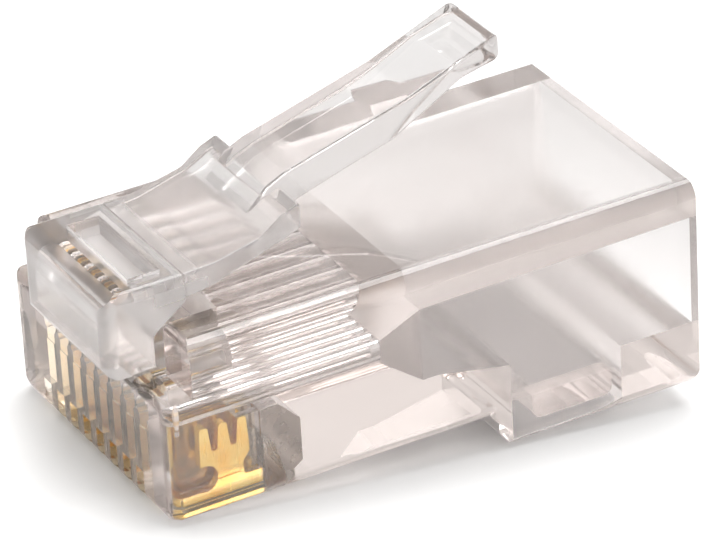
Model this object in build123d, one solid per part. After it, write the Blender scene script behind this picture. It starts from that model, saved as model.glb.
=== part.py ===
"""Clear eight-way modular plug for network cable, not yet crimped.

The frame has +X across the plug, +Y from the contact end to the cable end and +Z up, towards the latch.
While a piece is drawn, y is counted from the front face of the contact block and z from the underside
of the foot. The finished pieces are moved so that the origin lies under the middle of the whole plug.
All sizes are in millimetres, and all angles in degrees.
"""
from build123d import *
import math
import os

# The moulded body
body_width = 11.68
body_length = 21.46
body_height = 8.32
side_wall = 0.94
side_edge_radius = 0.7          # all four long edges
small_radius = 0.1              # corners that the mould leaves nearly sharp

# The foot at the cable end, which reaches below the contact block
foot_length = 8.01
foot_drop = 1.35
foot_slope_run = 0.5
foot_slope_drop = 0.5
foot_front_radius = 0.5
foot_rear_radius = 0.75

# The shelf over the contacts, and the shoulders of the body beside the latch root
shelf_drop = 2.05
shelf_depth = 1.15
shelf_radius = 0.35
ear_radius = 0.3

# The nose, which stands on the shelf and carries the latch, and the well round it
nose_half_width = 3.2
nose_overhang = 0.75
nose_rise = 1.15
nose_depth = 1.85
nose_arm = 1.35
nose_throat = 1.25
nose_sink = 0.05                # how far the nose reaches below the shelf's surface
nose_radius = 0.45
nose_front_radius = 0.7
nose_side_radius = 0.55
nose_edge_radius = 0.3
nose_recess_half_width = 2.3
nose_recess_inset = 1.45
nose_recess_length = 1.25
nose_recess_depth = 0.75
well_side_gap = 0.7
well_rear_gap = 0.79

# The latch plate, from its bending root to the locking shoulders
root_thickness = 1.0
root_gap = 0.06
latch_side_step = 0.1           # how much narrower the plate is than the nose
plate_flat_run = 1.22
plate_flat_angle = 2.0
plate_run = 1.95
plate_angle = 12.5
plate_thickness = 0.84
ramp_run = 1.0
ramp_angle = 36.0
shoulder_run = 0.78
shoulder_angle = 21.5
shoulder_height = 1.0
shoulder_undercut = 0.48
latch_edge_radius = 0.12

# The release tab behind the shoulders
tab_half_width = 1.63
tab_foot_run = 0.25
tab_ramp_run = 1.15
tab_ramp_angle = 46.0
tab_knee_run = 0.83
tab_knee_angle = 25.0
tab_run = 5.35
tab_angle = 15.6
tab_end_run = 3.88
tab_end_angle = 21.9
tab_end_thickness = 1.02
tab_end_face_angle = -82.7
tab_pad_run = 1.74
tab_pad_angle = 12.6
tab_taper_run = 3.21
tab_taper_angle = 29.0
tab_web_run = 2.95
tab_web_angle = 16.0
tab_corner_radius = 0.45

# The stamped contacts
contact_count = 8
contact_pitch = 1.02
contact_thickness = 0.35
contact_front = 1.03
contact_length = 3.14
contact_height = 2.84
contact_inset = 0.02            # how far a contact's lower edge lies inside the ribs
bar_height = 0.53
bar_front_height = 0.33
notch_radius = 0.52
notch_reach = 0.92
notch_height = 0.82
neck_front = 0.77
tine_count = 3
tine_front = 0.81
tine_width = 0.33
tine_gap = 0.42
tine_gap_depth = 0.99
tine_gap_taper = 0.1
tine_gap_radius = 0.09
tine_bevel = 0.07
waist_rear = 2.43
waist_height = 1.07
waist_radius = 0.15
hip_rear = 2.7
hip_height = 1.43
hip_length = 0.4
coin_depth = 0.04
coin_front = 0.4
coin_rear = 2.3
coin_bottom = 0.67
coin_height = 0.6

# Slots for the contacts and round channels for the wires
slot_side_gap = 0.105
slot_end_gap = 0.05
slot_front_gap = 0.15
slot_opening_height = 1.4
channel_radius = 0.46
channel_over_tines = 0.41
channel_rear = 8.97
channel_open_length = 2.2

# The cable's way in, from the rear to the channels
funnel_length = 1.39
funnel_rise = 1.02
funnel_drop = 0.91
floor_flat = 0.64
floor_slope_run = 4.0
floor_fall = 0.8
entry_length = 3.16
entry_fall = 0.5
ceiling_draft = 0.16

# Recess behind the contacts, with the wire clamp bar as its front wall
clamp_half_width = 4.05
clamp_bar_depth = 0.8
clamp_slot_length = 0.65
clamp_floor = 0.27
clamp_bar_height = 1.93
clamp_bar_shoulder = 1.5
clamp_chamfer = 0.8
clamp_slit_length = 0.3
clamp_lip_height = 0.25
clamp_lip_rise = 0.25

# Window through the foot, with the bar that grips the cable's jacket
window_inset = 0.45
window_length = 4.55
jacket_bar_side_gap = 0.35
jacket_bar_length = 3.3
jacket_bar_rear_gap = 0.2
jacket_bar_height = 1.45
jacket_bar_lift = 0.35
jacket_bar_radius = 0.7
jacket_bar_foot_radius = 0.35
jacket_web = 0.4

overrun = 1.0                   # how far a cut runs past an open face
half_width = body_width / 2
cavity_half_width = half_width - side_wall
shelf_height = body_height - shelf_drop
foot_front = body_length - foot_length
nose_rear = nose_depth - nose_overhang
nose_top = body_height + nose_rise
hinge_y = nose_rear + nose_arm
hinge_z = nose_top - root_thickness
latch_half_width = nose_half_width - latch_side_step
contact_bottom = foot_drop + contact_inset
contact_top = contact_bottom + contact_height
contact_rear = contact_front + contact_length
contact_places = [contact_pitch * (i - (contact_count - 1) / 2) for i in range(contact_count)]
slot_half_width = contact_thickness / 2 + slot_side_gap
slot_front = contact_front - slot_front_gap
slot_rear = contact_rear + slot_end_gap
slot_top = contact_top + slot_side_gap
channel_bottom = contact_top + channel_over_tines
channel_centre = channel_bottom + channel_radius
channel_top = channel_centre + channel_radius
funnel_rear = channel_rear + funnel_length
ceiling = channel_top + funnel_rise
floor = channel_bottom - funnel_drop
floor_low = floor - floor_fall
entry_floor = floor_low - entry_fall
entry_front = body_length - entry_length
middle_y = (body_length - nose_overhang) / 2


def side_profile(corners):
    """Face in the plug's middle plane, from corners of (y, z, corner radius)."""
    points = [(y, z) for y, z, radius in corners]
    radii = [radius for y, z, radius in corners]
    return make_face(Plane.YZ * FilletPolyline(*points, radius=radii, close=True))


def across(face, half):
    """Solid of a side profile that reaches equally far to both sides."""
    return extrude(face, amount=half, both=True)


def block(low, high):
    """Straight-sided solid between two corners."""
    size = [b - a for a, b in zip(low, high)]
    centre = [(a + b) / 2 for a, b in zip(low, high)]
    return Pos(*centre) * Box(*size)


def onward(point, run, slope):
    """The point that lies a run further along a slope, in the side view."""
    angle = math.radians(slope)
    return (point[0] + run * math.cos(angle), point[1] + run * math.sin(angle))


def with_soft_sides(solid, half, radius):
    """A profile solid whose edges round both side faces are rounded."""
    outline = solid.edges().filter_by(lambda edge: abs(edge.center().X) > half - radius / 2)
    return fillet(outline, radius)


def lengthwise_bar(low, high):
    """Bar of the body's full width and length between two heights, with its four long edges rounded."""
    section = FilletPolyline(
        (-half_width, low), (half_width, low), (half_width, high), (-half_width, high),
        radius=side_edge_radius, close=True)
    return extrude(make_face(Plane.XZ * section), amount=-body_length)


def body_blank():
    """The body's outside: contact block with shelf and upper face, and the deeper foot, long edges rounded."""
    block_outline = side_profile([
        (0, foot_drop, 0),
        (0, shelf_height, shelf_radius),
        (shelf_depth, shelf_height, 0),
        (shelf_depth, body_height, ear_radius),
        (body_length, body_height, small_radius),
        (body_length, foot_drop, 0),
    ])
    foot_start = foot_front - foot_slope_run
    foot_outline = side_profile([
        (foot_start, foot_drop, 0),
        (foot_start, shelf_height, 0),
        (body_length, shelf_height, 0),
        (body_length, 0, foot_rear_radius),
        (foot_front, 0, foot_front_radius),
        (foot_front, foot_drop - foot_slope_drop, small_radius),
    ])
    contact_block = across(block_outline, half_width) & lengthwise_bar(foot_drop, body_height)
    foot = across(foot_outline, half_width) & lengthwise_bar(0, body_height)
    return contact_block + foot


def latch_well():
    """The well round the latch root, open to the front over the shelf."""
    half = nose_half_width + well_side_gap
    return block((-half, -overrun, shelf_height), (half, hinge_y + well_rear_gap, nose_top))


def nose():
    """The upright block on the shelf, with an arm to the rear that ends at the latch's bending root."""
    arm_end = hinge_y - root_gap / 2
    outline = side_profile([
        (-nose_overhang, shelf_height - nose_sink, nose_radius),
        (-nose_overhang, nose_top, nose_front_radius),
        (arm_end, nose_top, 0),
        (arm_end, hinge_z, 0),
        (nose_rear, shelf_height + nose_throat, nose_radius),
        (nose_rear, shelf_height - nose_sink, 0),
    ])
    plan = FilletPolyline(
        (-nose_half_width, -nose_overhang), (nose_half_width, -nose_overhang),
        (nose_half_width, arm_end), (-nose_half_width, arm_end),
        radius=[nose_side_radius, nose_side_radius, 0, 0], close=True)
    section = FilletPolyline(
        (-nose_half_width, 0), (nose_half_width, 0), (nose_half_width, nose_top), (-nose_half_width, nose_top),
        radius=[0, 0, nose_edge_radius, nose_edge_radius], close=True)
    lengthwise = extrude(make_face(Plane.XZ * section), amount=hinge_y, both=True)
    upright = across(outline, nose_half_width) & extrude(make_face(plan), amount=nose_top) & lengthwise
    recess_front = nose_recess_inset - nose_overhang
    recess = block(
        (-nose_recess_half_width, recess_front, nose_top - nose_recess_depth),
        (nose_recess_half_width, recess_front + nose_recess_length, nose_top + overrun))
    return upright - recess


def contact_slot(x):
    """Slot for one contact: open below, open in front up to a low lintel, its top let into the wire channel."""
    low = x - slot_half_width
    high = x + slot_half_width
    mouth = block((low, -overrun, 0), (high, slot_rear, foot_drop + slot_opening_height))
    upper = block((low, slot_front, foot_drop), (high, slot_rear, slot_top))
    return mouth + upper + block(
        (low, contact_front, slot_top), (high, contact_front + channel_open_length, channel_centre))


def wire_channel(x):
    """Round blind channel for one insulated wire."""
    length = channel_rear - contact_front
    return Pos(x, channel_rear, channel_centre) * extrude(Plane.XZ * Circle(channel_radius), amount=length)


def cable_cavity():
    """The cable's way in from the rear, which narrows in a funnel to the row of channels."""
    room = across(side_profile([
        (funnel_rear, floor, 0),
        (funnel_rear + floor_flat, floor, 0),
        (funnel_rear + floor_flat + floor_slope_run, floor_low, 0),
        (entry_front, floor_low, 0),
        (entry_front, entry_floor, 0),
        (body_length + overrun, entry_floor, 0),
        (body_length + overrun, ceiling + ceiling_draft, 0),
        (funnel_rear, ceiling, 0),
    ]), cavity_half_width)
    throat_half = contact_places[-1] + channel_radius
    throat = Plane.XZ.offset(-channel_rear) * Pos(0, channel_centre) * Rectangle(
        2 * throat_half, 2 * channel_radius)
    mouth = Plane.XZ.offset(-funnel_rear) * Pos(0, (floor + ceiling) / 2) * Rectangle(
        2 * cavity_half_width, ceiling - floor)
    return room + loft([throat, mouth])


def clamp_recess():
    """Recess behind the contacts; the bar in front of it is pressed against the wires at crimping."""
    front = slot_rear + clamp_bar_depth
    rear = front + clamp_slot_length
    top = channel_bottom - clamp_floor
    lip = foot_drop + clamp_lip_height
    outline = side_profile([
        (front, 0, 0),
        (front, foot_drop, 0),
        (front - clamp_bar_depth / 2, foot_drop + clamp_bar_shoulder, 0),
        (slot_rear, foot_drop + clamp_bar_height, 0),
        (slot_rear - small_radius, foot_drop + clamp_bar_height, 0),
        (slot_rear - small_radius, top, 0),
        (rear - clamp_chamfer, top, 0),
        (rear, top - clamp_chamfer, 0),
        (rear, lip + clamp_lip_rise, 0),
        (front + clamp_slit_length, lip, 0),
        (front + clamp_slit_length, 0, 0),
    ])
    return across(outline, clamp_half_width)


def jacket_window():
    """Window through the foot, up into the cable cavity."""
    front = foot_front + window_inset
    return block((-cavity_half_width, front, -overrun), (cavity_half_width, front + window_length, floor))


def jacket_bar():
    """Bar in the foot's window, on a thin web that bends when the bar is pressed into the cable's jacket."""
    window_front = foot_front + window_inset
    rear = window_front + window_length - jacket_bar_rear_gap
    front = rear - jacket_bar_length
    top = jacket_bar_lift + jacket_bar_height
    outline = side_profile([
        (window_front - small_radius, top - jacket_web, 0),
        (front, top - jacket_web, small_radius),
        (front, jacket_bar_lift, jacket_bar_foot_radius),
        (rear, jacket_bar_lift, jacket_bar_foot_radius),
        (rear, top, jacket_bar_radius),
        (window_front - small_radius, top, 0),
    ])
    return across(outline, cavity_half_width - jacket_bar_side_gap)


def housing():
    """The moulded body with its slots, channels, cavity, recess and window."""
    solid = body_blank() - latch_well() + nose()
    for x in contact_places:
        solid -= contact_slot(x)
        solid -= wire_channel(x)
    return solid - cable_cavity() - clamp_recess() - jacket_window() + jacket_bar()


def latch():
    """Latch plate with its two locking shoulders, and the narrower release tab behind them."""
    root = (hinge_y + root_gap / 2, nose_top)
    bend = onward(root, plate_flat_run, plate_flat_angle)
    plate_end = onward(bend, plate_run, plate_angle)
    ramp_end = onward(plate_end, ramp_run, ramp_angle)
    shoulder = onward(ramp_end, shoulder_run, shoulder_angle)
    lock_foot = (shoulder[0], shoulder[1] - shoulder_height)
    plate = across(side_profile([
        (root[0], hinge_z, 0),
        (*root, 0),
        (*bend, plate_run / 2),
        (*plate_end, plate_run / 3),
        (*ramp_end, shoulder_run / 2),
        (*shoulder, small_radius),
        (*lock_foot, small_radius),
        (*onward(lock_foot, -shoulder_undercut, shoulder_angle), small_radius),
        (bend[0], bend[1] - plate_thickness, plate_run / 2),
    ]), latch_half_width)

    tab_foot = onward(plate_end, tab_foot_run, ramp_angle)
    knee = onward(tab_foot, tab_ramp_run, tab_ramp_angle)
    tab_start = onward(knee, tab_knee_run, tab_knee_angle)
    tab_bend = onward(tab_start, tab_run, tab_angle)
    tip = onward(tab_bend, tab_end_run, tab_end_angle)
    tip_foot = onward(tip, tab_end_thickness, tab_end_face_angle)
    pad_front = onward(tip_foot, -tab_pad_run, tab_pad_angle)
    taper_front = onward(pad_front, -tab_taper_run, tab_taper_angle)
    web_front = onward(taper_front, -tab_web_run, tab_web_angle)
    tab = across(side_profile([
        (*tab_foot, 0),
        (*knee, tab_ramp_run / 3),
        (*tab_start, tab_knee_run / 2),
        (*tab_bend, tab_run / 3),
        (*tip, tab_end_thickness / 4),
        (*tip_foot, tab_end_thickness / 4),
        (*pad_front, tab_pad_run / 2),
        (*taper_front, tab_pad_run / 2),
        (*web_front, tab_pad_run / 4),
        (*lock_foot, 0),
    ]), tab_half_width)
    reach = tip_foot[0] + overrun
    plan = FilletPolyline(
        (-tab_half_width, 0), (tab_half_width, 0), (tab_half_width, tip_foot[0]), (-tab_half_width, tip_foot[0]),
        radius=[0, 0, tab_corner_radius, tab_corner_radius], close=True)
    tab &= extrude(make_face(plan), amount=reach)
    return with_soft_sides(plate, latch_half_width, latch_edge_radius) + with_soft_sides(
        tab, tab_half_width, latch_edge_radius)


def contact(x):
    """One stamped contact: foot bar, round notch open to the front, waist and three piercing tines."""
    step = contact_bottom + bar_height
    front_step = contact_bottom + bar_front_height
    neck = contact_front + neck_front
    corners = [
        (contact_front, contact_bottom, 0),
        (contact_front, front_step, 0),
        (neck, front_step, 0),
        (neck, contact_top - tine_gap_depth, 0),
    ]
    gap_bottom = contact_top - tine_gap_depth
    for i in range(tine_count):
        front = contact_front + tine_front + i * (tine_width + tine_gap)
        rear = front + tine_width
        corners.append((front, contact_top - tine_bevel, 0))
        corners.append((front + tine_bevel, contact_top, 0))
        corners.append((rear - tine_bevel, contact_top, 0))
        corners.append((rear, contact_top - tine_bevel, 0))
        if i < tine_count - 1:
            corners.append((rear + tine_gap_taper, gap_bottom, tine_gap_radius))
            corners.append((rear + tine_gap - tine_gap_taper, gap_bottom, tine_gap_radius))
    hip = contact_front + hip_rear
    waist = contact_front + waist_rear
    corners += [
        (hip, contact_bottom + hip_height + hip_length, 0),
        (hip, contact_bottom + hip_height, 0),
        (waist, contact_bottom + waist_height, 0),
        (waist, step, waist_radius),
        (contact_rear, step, 0),
        (contact_rear, contact_bottom, 0),
    ]
    blade = across(side_profile(corners), contact_thickness / 2)
    notch_place = Pos(contact_front + notch_reach, contact_bottom + notch_height)
    notch = across(Plane.YZ * notch_place * Circle(notch_radius), contact_thickness)
    face = contact_thickness / 2 - coin_depth
    coined = block(
        (face, contact_front + coin_front, contact_bottom + coin_bottom),
        (contact_thickness, contact_front + coin_rear, contact_bottom + coin_bottom + coin_height))
    return Pos(x, 0, 0) * (blade - notch - coined)


pieces = {"housing": housing(), "latch": latch()}
for number, place in enumerate(contact_places, start=1):
    pieces[f"contact_{number}"] = contact(place)

os.makedirs("parts", exist_ok=True)
for name, piece in pieces.items():
    export_step(Pos(0, -middle_y, 0) * piece, f"parts/{name}.step")
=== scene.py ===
import math

import bmesh
import bpy
from mathutils import Matrix, Vector


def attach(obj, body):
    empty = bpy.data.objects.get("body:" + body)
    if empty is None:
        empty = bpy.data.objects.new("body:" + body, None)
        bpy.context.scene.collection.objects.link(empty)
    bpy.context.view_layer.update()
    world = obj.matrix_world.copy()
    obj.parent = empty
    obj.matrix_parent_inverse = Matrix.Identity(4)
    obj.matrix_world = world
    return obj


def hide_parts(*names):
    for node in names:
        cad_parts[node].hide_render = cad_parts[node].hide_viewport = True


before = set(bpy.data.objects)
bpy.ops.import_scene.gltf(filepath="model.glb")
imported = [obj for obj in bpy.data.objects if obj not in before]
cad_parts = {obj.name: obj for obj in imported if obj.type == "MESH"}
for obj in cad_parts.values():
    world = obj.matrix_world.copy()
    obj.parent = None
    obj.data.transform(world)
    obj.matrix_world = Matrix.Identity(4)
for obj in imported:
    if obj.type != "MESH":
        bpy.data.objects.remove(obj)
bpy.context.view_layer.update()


# Housing. One injection-moulded block of clear polycarbonate with the resin's faint warm tint. The
# outside comes from polished tool faces, the cable cavity and the channels from hazier core pins,
# and the nose from a grained insert that leaves it milky. Faint flow lines run along the plug.
def new_finish(name):
    """A material, its node tree, its shader, and the point of the piece that it colours."""
    material = bpy.data.materials.new(name)
    material.use_nodes = True
    tree = material.node_tree
    place = tree.nodes.new("ShaderNodeTexCoord")
    return material, tree, tree.nodes["Principled BSDF"], place.outputs["Object"]


def mottle(tree, point, scale, detail):
    """Soft spots with values round 0.5, about as many to the metre as the scale says."""
    spots = tree.nodes.new("ShaderNodeTexNoise")
    spots.inputs["Scale"].default_value = scale
    spots.inputs["Detail"].default_value = detail
    tree.links.new(point, spots.inputs["Vector"])
    return spots.outputs["Fac"]


def drawn_out(tree, point, scale):
    """The point on a scale that draws spots out into lines along the axis with the small factor."""
    mapping = tree.nodes.new("ShaderNodeMapping")
    mapping.inputs["Scale"].default_value = scale
    tree.links.new(point, mapping.inputs["Vector"])
    return mapping.outputs["Vector"]


def fade(tree, value, low, high, start=0.0, end=1.0, interpolation="LINEAR"):
    """Goes from low to high while the value goes from start to end."""
    change = tree.nodes.new("ShaderNodeMapRange")
    change.interpolation_type = interpolation
    change.inputs["From Min"].default_value = start
    change.inputs["From Max"].default_value = end
    change.inputs["To Min"].default_value = low
    change.inputs["To Max"].default_value = high
    tree.links.new(value, change.inputs["Value"])
    return change.outputs["Result"]


def two_tone(tree, value, *tones):
    """Goes from the first colour to the second between the values given with them."""
    ramp = tree.nodes.new("ShaderNodeValToRGB")
    for stop, (position, colour) in zip(ramp.color_ramp.elements, tones):
        stop.position = position
        stop.color = colour
    tree.links.new(value, ramp.inputs["Fac"])
    return ramp.outputs["Color"]


def relief(tree, pattern, strength, height):
    """The surface's normal with the pattern standing out of it by up to the height."""
    bump = tree.nodes.new("ShaderNodeBump")
    bump.inputs["Strength"].default_value = strength
    bump.inputs["Distance"].default_value = height
    tree.links.new(pattern, bump.inputs["Height"])
    return bump.outputs["Normal"]


def inside_box(tree, point, middle, half):
    """1 inside a box with that middle and those half sizes, 0 outside it."""
    share = point
    for operation, operand in (("SUBTRACT", middle), ("ABSOLUTE", None), ("DIVIDE", half)):
        step = tree.nodes.new("ShaderNodeVectorMath")
        step.operation = operation
        tree.links.new(share, step.inputs[0])
        if operand is not None:
            step.inputs[1].default_value = operand
        share = step.outputs["Vector"]
    split = tree.nodes.new("ShaderNodeSeparateXYZ")
    tree.links.new(share, split.inputs["Vector"])
    farthest = split.outputs["X"]
    for axis in ("Y", "Z"):
        farther = tree.nodes.new("ShaderNodeMath")
        farther.operation = "MAXIMUM"
        tree.links.new(farthest, farther.inputs[0])
        tree.links.new(split.outputs[axis], farther.inputs[1])
        farthest = farther.outputs["Value"]
    zone = tree.nodes.new("ShaderNodeMath")
    zone.operation = "LESS_THAN"
    tree.links.new(farthest, zone.inputs[0])
    zone.inputs[1].default_value = 1.0
    return zone.outputs["Value"]


def add_inside(tree, zone, extra, base):
    """The base, with a number or another node's output added to it inside the zone."""
    total = tree.nodes.new("ShaderNodeMath")
    total.operation = "MULTIPLY_ADD"
    tree.links.new(zone, total.inputs[0])
    if isinstance(extra, float):
        total.inputs[1].default_value = extra
    else:
        tree.links.new(extra, total.inputs[1])
    tree.links.new(base, total.inputs[2])
    return total.outputs["Value"]


def make_of(node, material):
    """Gives every slot of a CAD node the material."""
    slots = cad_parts[node].data.materials
    for slot in range(len(slots)):
        slots[slot] = material


clear, tree, resin, point = new_finish("clear_polycarbonate")
resin.inputs["IOR"].default_value = 1.586
cloud = mottle(tree, point, scale=260.0, detail=3.0)
colour = two_tone(tree, cloud, (0.35, (0.965, 0.94, 0.935, 1)), (0.65, (0.985, 0.97, 0.965, 1)))
clearness = fade(tree, cloud, low=0.965, high=1.0)
grain = mottle(tree, point, scale=2600.0, detail=4.0)
roughness = fade(tree, grain, low=0.015, high=0.07, start=0.35, end=0.75)
position = tree.nodes.new("ShaderNodeSeparateXYZ")
tree.links.new(point, position.inputs["Vector"])
rearward = fade(tree, position.outputs["Y"], low=0.08, high=0.2, start=-0.006, end=0.0)
for middle, half, haze, painted_light_tint, milk in (
    # channels and cable cavity, hazier towards the rear
    ((0.0, 0.0010, 0.0043), (0.0050, 0.0102, 0.0027), rearward, None, 0.05),
    # contact slots, whose walls carry a painted reflection of the gold of the blades
    ((0.0, -0.0086, 0.0028), (0.0046, 0.0022, 0.0022), 0.04, (0.97, 0.87, 0.70, 1), 0.0),
    # rough front wall of the clamp recess, its tint darkened with painted shade
    ((0.0, -0.0053, 0.0028), (0.0050, 0.0009, 0.0016), 0.15, (0.80, 0.74, 0.68, 1), 0.0),
    # milky nose
    ((0.0, -0.0092, 0.0076), (0.0034, 0.0022, 0.0015), 0.18, None, 0.22),
    # latch plate and its shoulders
    ((0.0, -0.0056, 0.0108), (0.0040, 0.0035, 0.0022), 0.12, None, 0.06),
):
    zone = inside_box(tree, point, middle, half)
    roughness = add_inside(tree, zone, haze, roughness)
    # Painted light is mixed into the colour where a zone has a tint: a painted reflection of the
    # gold on the slot walls, painted shade on the recess wall.
    if painted_light_tint is not None:
        painted_light_mix = tree.nodes.new("ShaderNodeMix")
        painted_light_mix.data_type = "RGBA"
        tree.links.new(zone, painted_light_mix.inputs["Factor"])
        tree.links.new(colour, painted_light_mix.inputs["A"])
        painted_light_mix.inputs["B"].default_value = painted_light_tint
        colour = painted_light_mix.outputs["Result"]
    if milk:
        clearness = add_inside(tree, zone, -milk, clearness)
tree.links.new(roughness, resin.inputs["Roughness"])
tree.links.new(colour, resin.inputs["Base Color"])
tree.links.new(clearness, resin.inputs["Transmission Weight"])
flow = mottle(tree, drawn_out(tree, point, (1.0, 0.18, 1.0)), scale=900.0, detail=2.0)
ripple = relief(tree, flow, strength=0.06, height=0.00002)
tree.links.new(ripple, resin.inputs["Normal"])
depth = tree.nodes.new("ShaderNodeVolumeAbsorption")
depth.inputs["Color"].default_value = (0.86, 0.765, 0.72, 1)
depth.inputs["Density"].default_value = 75.0
tree.links.new(depth.outputs["Volume"], tree.nodes["Material Output"].inputs["Volume"])
make_of("housing", clear)

# The solid leaves the lower front edge and the two upright front corners square. The moulding shown
# here has them rounded with tangent cuts, as the tool leaves them, with a ball at the two corners
# where they meet, and keeps the solid's own shading elsewhere.
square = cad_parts["housing"].data
moulding = square.copy()
moulding.name = "housing_moulding"
kept = moulding.attributes.new("kept_normal", "FLOAT_VECTOR", "CORNER")
kept.data.foreach_set(
    "vector", [part for normal in square.corner_normals for part in normal.vector])
weld, cut_tolerance, on_plane = 1e-7, 1e-8, 2e-7
shell = bmesh.new()
shell.from_mesh(moulding)
bmesh.ops.remove_doubles(shell, verts=shell.verts, dist=weld)
shading = shell.loops.layers.float_vector["kept_normal"]
rounding = shell.faces.layers.int.new("rounding")

front, underside, flank = -0.010355, 0.00135, 0.00584
edge_radius, corner_radius = 0.0007, 0.0005
lower_edge = 1
upright_corners = {2: -1, 3: 1}
ball_corners = {4: -1, 5: 1}
cuts = []
for angle in (15, 30, 45, 60, 75):
    ahead, down = math.cos(math.radians(angle)), math.sin(math.radians(angle))
    axis = Vector((0, front + edge_radius, underside + edge_radius))
    cuts.append((lower_edge, axis, edge_radius, Vector((0, -ahead, -down))))
for mark, side in upright_corners.items():
    for angle in (22.5, 45, 67.5):
        across, ahead = math.sin(math.radians(angle)), math.cos(math.radians(angle))
        axis = Vector((side * (flank - corner_radius), front + corner_radius, 0))
        cuts.append((mark, axis, corner_radius, Vector((side * across, -ahead, 0))))
for mark, side in ball_corners.items():
    for across, ahead, down in ((1, 1, 1), (2, 1, 1), (1, 2, 1), (1, 1, 2)):
        ball = Vector((side * (flank - edge_radius), front + edge_radius, underside + edge_radius))
        outward = Vector((side * across, -ahead, -down)).normalized()
        cuts.append((mark, ball, edge_radius, outward))

centre_of = {}
for mark, centre, radius, outward in cuts:
    centre_of[mark] = centre
    tangent = centre + outward * radius
    bmesh.ops.bisect_plane(
        shell, geom=shell.verts[:] + shell.edges[:] + shell.faces[:], dist=cut_tolerance,
        plane_co=tangent, plane_no=outward, clear_outer=True)
    rim = [edge for edge in shell.edges if edge.is_boundary
           and all(abs((vert.co - tangent).dot(outward)) < on_plane for vert in edge.verts)]
    for face in bmesh.ops.holes_fill(shell, edges=rim, sides=0)["faces"]:
        face[rounding] = mark
        face.smooth = True
        face.normal_update()
        if face.normal.dot(outward) < 0:
            face.normal_flip()
for face in shell.faces:
    mark = face[rounding]
    if not mark:
        continue
    for loop in face.loops:
        corner = loop.vert.co
        outward = corner - centre_of[mark]
        if mark == lower_edge:
            outward.x = 0
        elif mark in upright_corners:
            outward.z = 0
        if abs(corner.y - front) < on_plane:
            outward = Vector((0, -1, 0))
        elif mark not in upright_corners and abs(corner.z - underside) < on_plane:
            outward = Vector((0, 0, -1))
        elif mark != lower_edge and abs(abs(corner.x) - flank) < on_plane:
            outward = Vector((math.copysign(1, corner.x), 0, 0))
        loop[shading] = outward.normalized()
shell.to_mesh(moulding)
shell.free()
moulding.normals_split_custom_set(
    [corner.vector.normalized() for corner in moulding.attributes["kept_normal"].data])
moulding.attributes.remove(moulding.attributes["kept_normal"])
moulding.attributes.remove(moulding.attributes["rounding"])
housing_moulding = bpy.data.objects.new("housing_moulding", moulding)
bpy.context.scene.collection.objects.link(housing_moulding)
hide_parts("housing")
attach(housing_moulding, "body")

# Latch. The bent plate with its two locking shoulders and the release tab are moulded in one with
# the nose, of the same clear resin, so they show the same faint flow lines and the same tint.
make_of("latch", clear)

# Contacts. Eight blades stamped from phosphor bronze strip and gold plated. Fine upright drag lines
# from the die run over all of them, and the plating is duller along the lines.
gold, tree, plating, point = new_finish("gold_plated_bronze")
plating.inputs["Metallic"].default_value = 1.0
patch = mottle(tree, point, scale=1100.0, detail=3.0)
shade = two_tone(tree, patch, (0.3, (1.0, 0.64, 0.15, 1)), (0.7, (1.0, 0.84, 0.34, 1)))
tree.links.new(shade, plating.inputs["Base Color"])
drag = mottle(tree, drawn_out(tree, point, (1.0, 1.0, 0.06)), scale=14000.0, detail=2.0)
tree.links.new(fade(tree, drag, low=0.16, high=0.34), plating.inputs["Roughness"])
tree.links.new(relief(tree, drag, strength=0.1, height=0.000004), plating.inputs["Normal"])
for number in range(1, 9):
    make_of(f"contact_{number}", gold)

# Floor. The plug lies on a plain white sweep, on the lower edge of the contact block and the front
# edge of the foot. What the clear plastic shows of the sweep is painted whitest right under the
# plug: painted light that lifts the plug's shadow there.
touch = Vector((0, -0.009726, 0.001354))
normal = Vector((0, 0.101285, 0.994857)).normalized()
crosswise = Vector((1, 0, 0))
lengthwise = normal.cross(crosswise).normalized()
reach = 1.5
corners = [touch + crosswise * a * reach + lengthwise * b * reach
           for a, b in ((-1, -1), (1, -1), (1, 1), (-1, 1))]
mesh = bpy.data.meshes.new("floor")
mesh.from_pydata(corners, [], [(0, 1, 2, 3)])
floor = bpy.data.objects.new("floor", mesh)
bpy.context.scene.collection.objects.link(floor)
paper, tree, sheet, point = new_finish("white_sweep")
sheet.inputs["Roughness"].default_value = 0.9
sheet.inputs["Specular IOR Level"].default_value = 0.1
away = tree.nodes.new("ShaderNodeVectorMath")
away.operation = "LENGTH"
tree.links.new(point, away.inputs[0])
# Painted light: for rays that are not the camera's, the sweep is painted whiter within about 24 mm
# of the plug, where its shadow lies.
painted_light_under_plug = fade(tree, away.outputs["Value"], low=0.95, high=0.56,
                         start=0.009, end=0.024, interpolation="SMOOTHSTEP")
ray = tree.nodes.new("ShaderNodeLightPath")
white = tree.nodes.new("ShaderNodeMapRange")
white.inputs["To Max"].default_value = 0.93
tree.links.new(painted_light_under_plug, white.inputs["To Min"])
tree.links.new(ray.outputs["Is Camera Ray"], white.inputs["Value"])
tree.links.new(white.outputs["Result"], sheet.inputs["Base Color"])
mesh.materials.append(paper)

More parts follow.
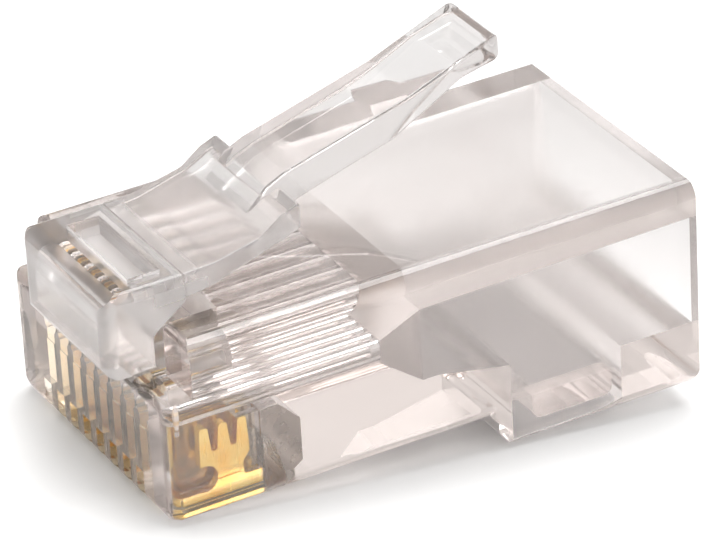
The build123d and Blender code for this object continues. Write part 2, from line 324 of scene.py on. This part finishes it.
# Light. A white tent, a little darker towards the horizon and brightest where the top face mirrors
# it, and one large soft lamp above the cable end, so that the shadow lies close around the plug.
world = bpy.data.worlds.new("studio")
bpy.context.scene.world = world
world.use_nodes = True
tree = world.node_tree
tent = tree.nodes["Background"]
tent.inputs["Color"].default_value = (1.0, 0.995, 0.985, 1)
way = tree.nodes.new("ShaderNodeTexCoord")
height = tree.nodes.new("ShaderNodeSeparateXYZ")
tree.links.new(way.outputs["Generated"], height.inputs["Vector"])
daylight = fade(tree, height.outputs["Z"], low=0.6, high=0.9, end=0.7)
mirrored = tree.nodes.new("ShaderNodeVectorMath")
mirrored.operation = "DOT_PRODUCT"
mirrored.inputs[1].default_value = (-0.7593, 0.4360, 0.4831)
tree.links.new(way.outputs["Generated"], mirrored.inputs[0])
glow = fade(tree, mirrored.outputs["Value"], low=0.0, high=0.15,
            start=0.965, interpolation="SMOOTHSTEP")
level = tree.nodes.new("ShaderNodeMath")
level.operation = "ADD"
tree.links.new(daylight, level.inputs[0])
tree.links.new(glow, level.inputs[1])
tree.links.new(level.outputs["Value"], tent.inputs["Strength"])

lamp_data = bpy.data.lights.new("softbox", "AREA")
lamp_data.shape = "SQUARE"
lamp_data.size = 0.36
lamp_data.energy = 2.3
lamp = bpy.data.objects.new("softbox", lamp_data)
bpy.context.scene.collection.objects.link(lamp)
plug_middle = Vector((0, 0, 0.005))
lamp.location = (-0.08, 0.12, 0.5)
lamp.rotation_mode = "QUATERNION"
lamp.rotation_quaternion = (plug_middle - Vector(lamp.location)).to_track_quat("-Z", "Y")

# Camera. It stands above and in front of the contact end, with the latch side up. Its place, its
# turn and its lens are fitted to the plug's edges in the photo.
camera_data = bpy.data.cameras.new("camera")
camera_data.sensor_width = 36.0
camera_data.sensor_fit = "HORIZONTAL"
camera_data.lens = 271.65
camera_data.clip_start = 0.005
camera_data.clip_end = 5.0
camera = bpy.data.objects.new("camera", camera_data)
bpy.context.scene.collection.objects.link(camera)
standpoint = (0.148316, -0.077482, 0.100876)
right = Vector((0.4899, 0.8704, -0.0502)).normalized()
forward = Vector((-0.76884, 0.40416, -0.49553)).normalized()
up = right.cross(forward)
turn = Matrix((right, up, -forward)).transposed()
camera.matrix_world = Matrix.Translation(standpoint) @ turn.to_4x4()
bpy.context.scene.camera = camera

# Clear walls lie behind one another, so light passes many of them before it leaves the plug.
scene = bpy.context.scene
scene.view_settings.view_transform = "Standard"
scene.cycles.max_bounces = 40
scene.cycles.transmission_bounces = 40
scene.cycles.glossy_bounces = 12
scene.cycles.diffuse_bounces = 4
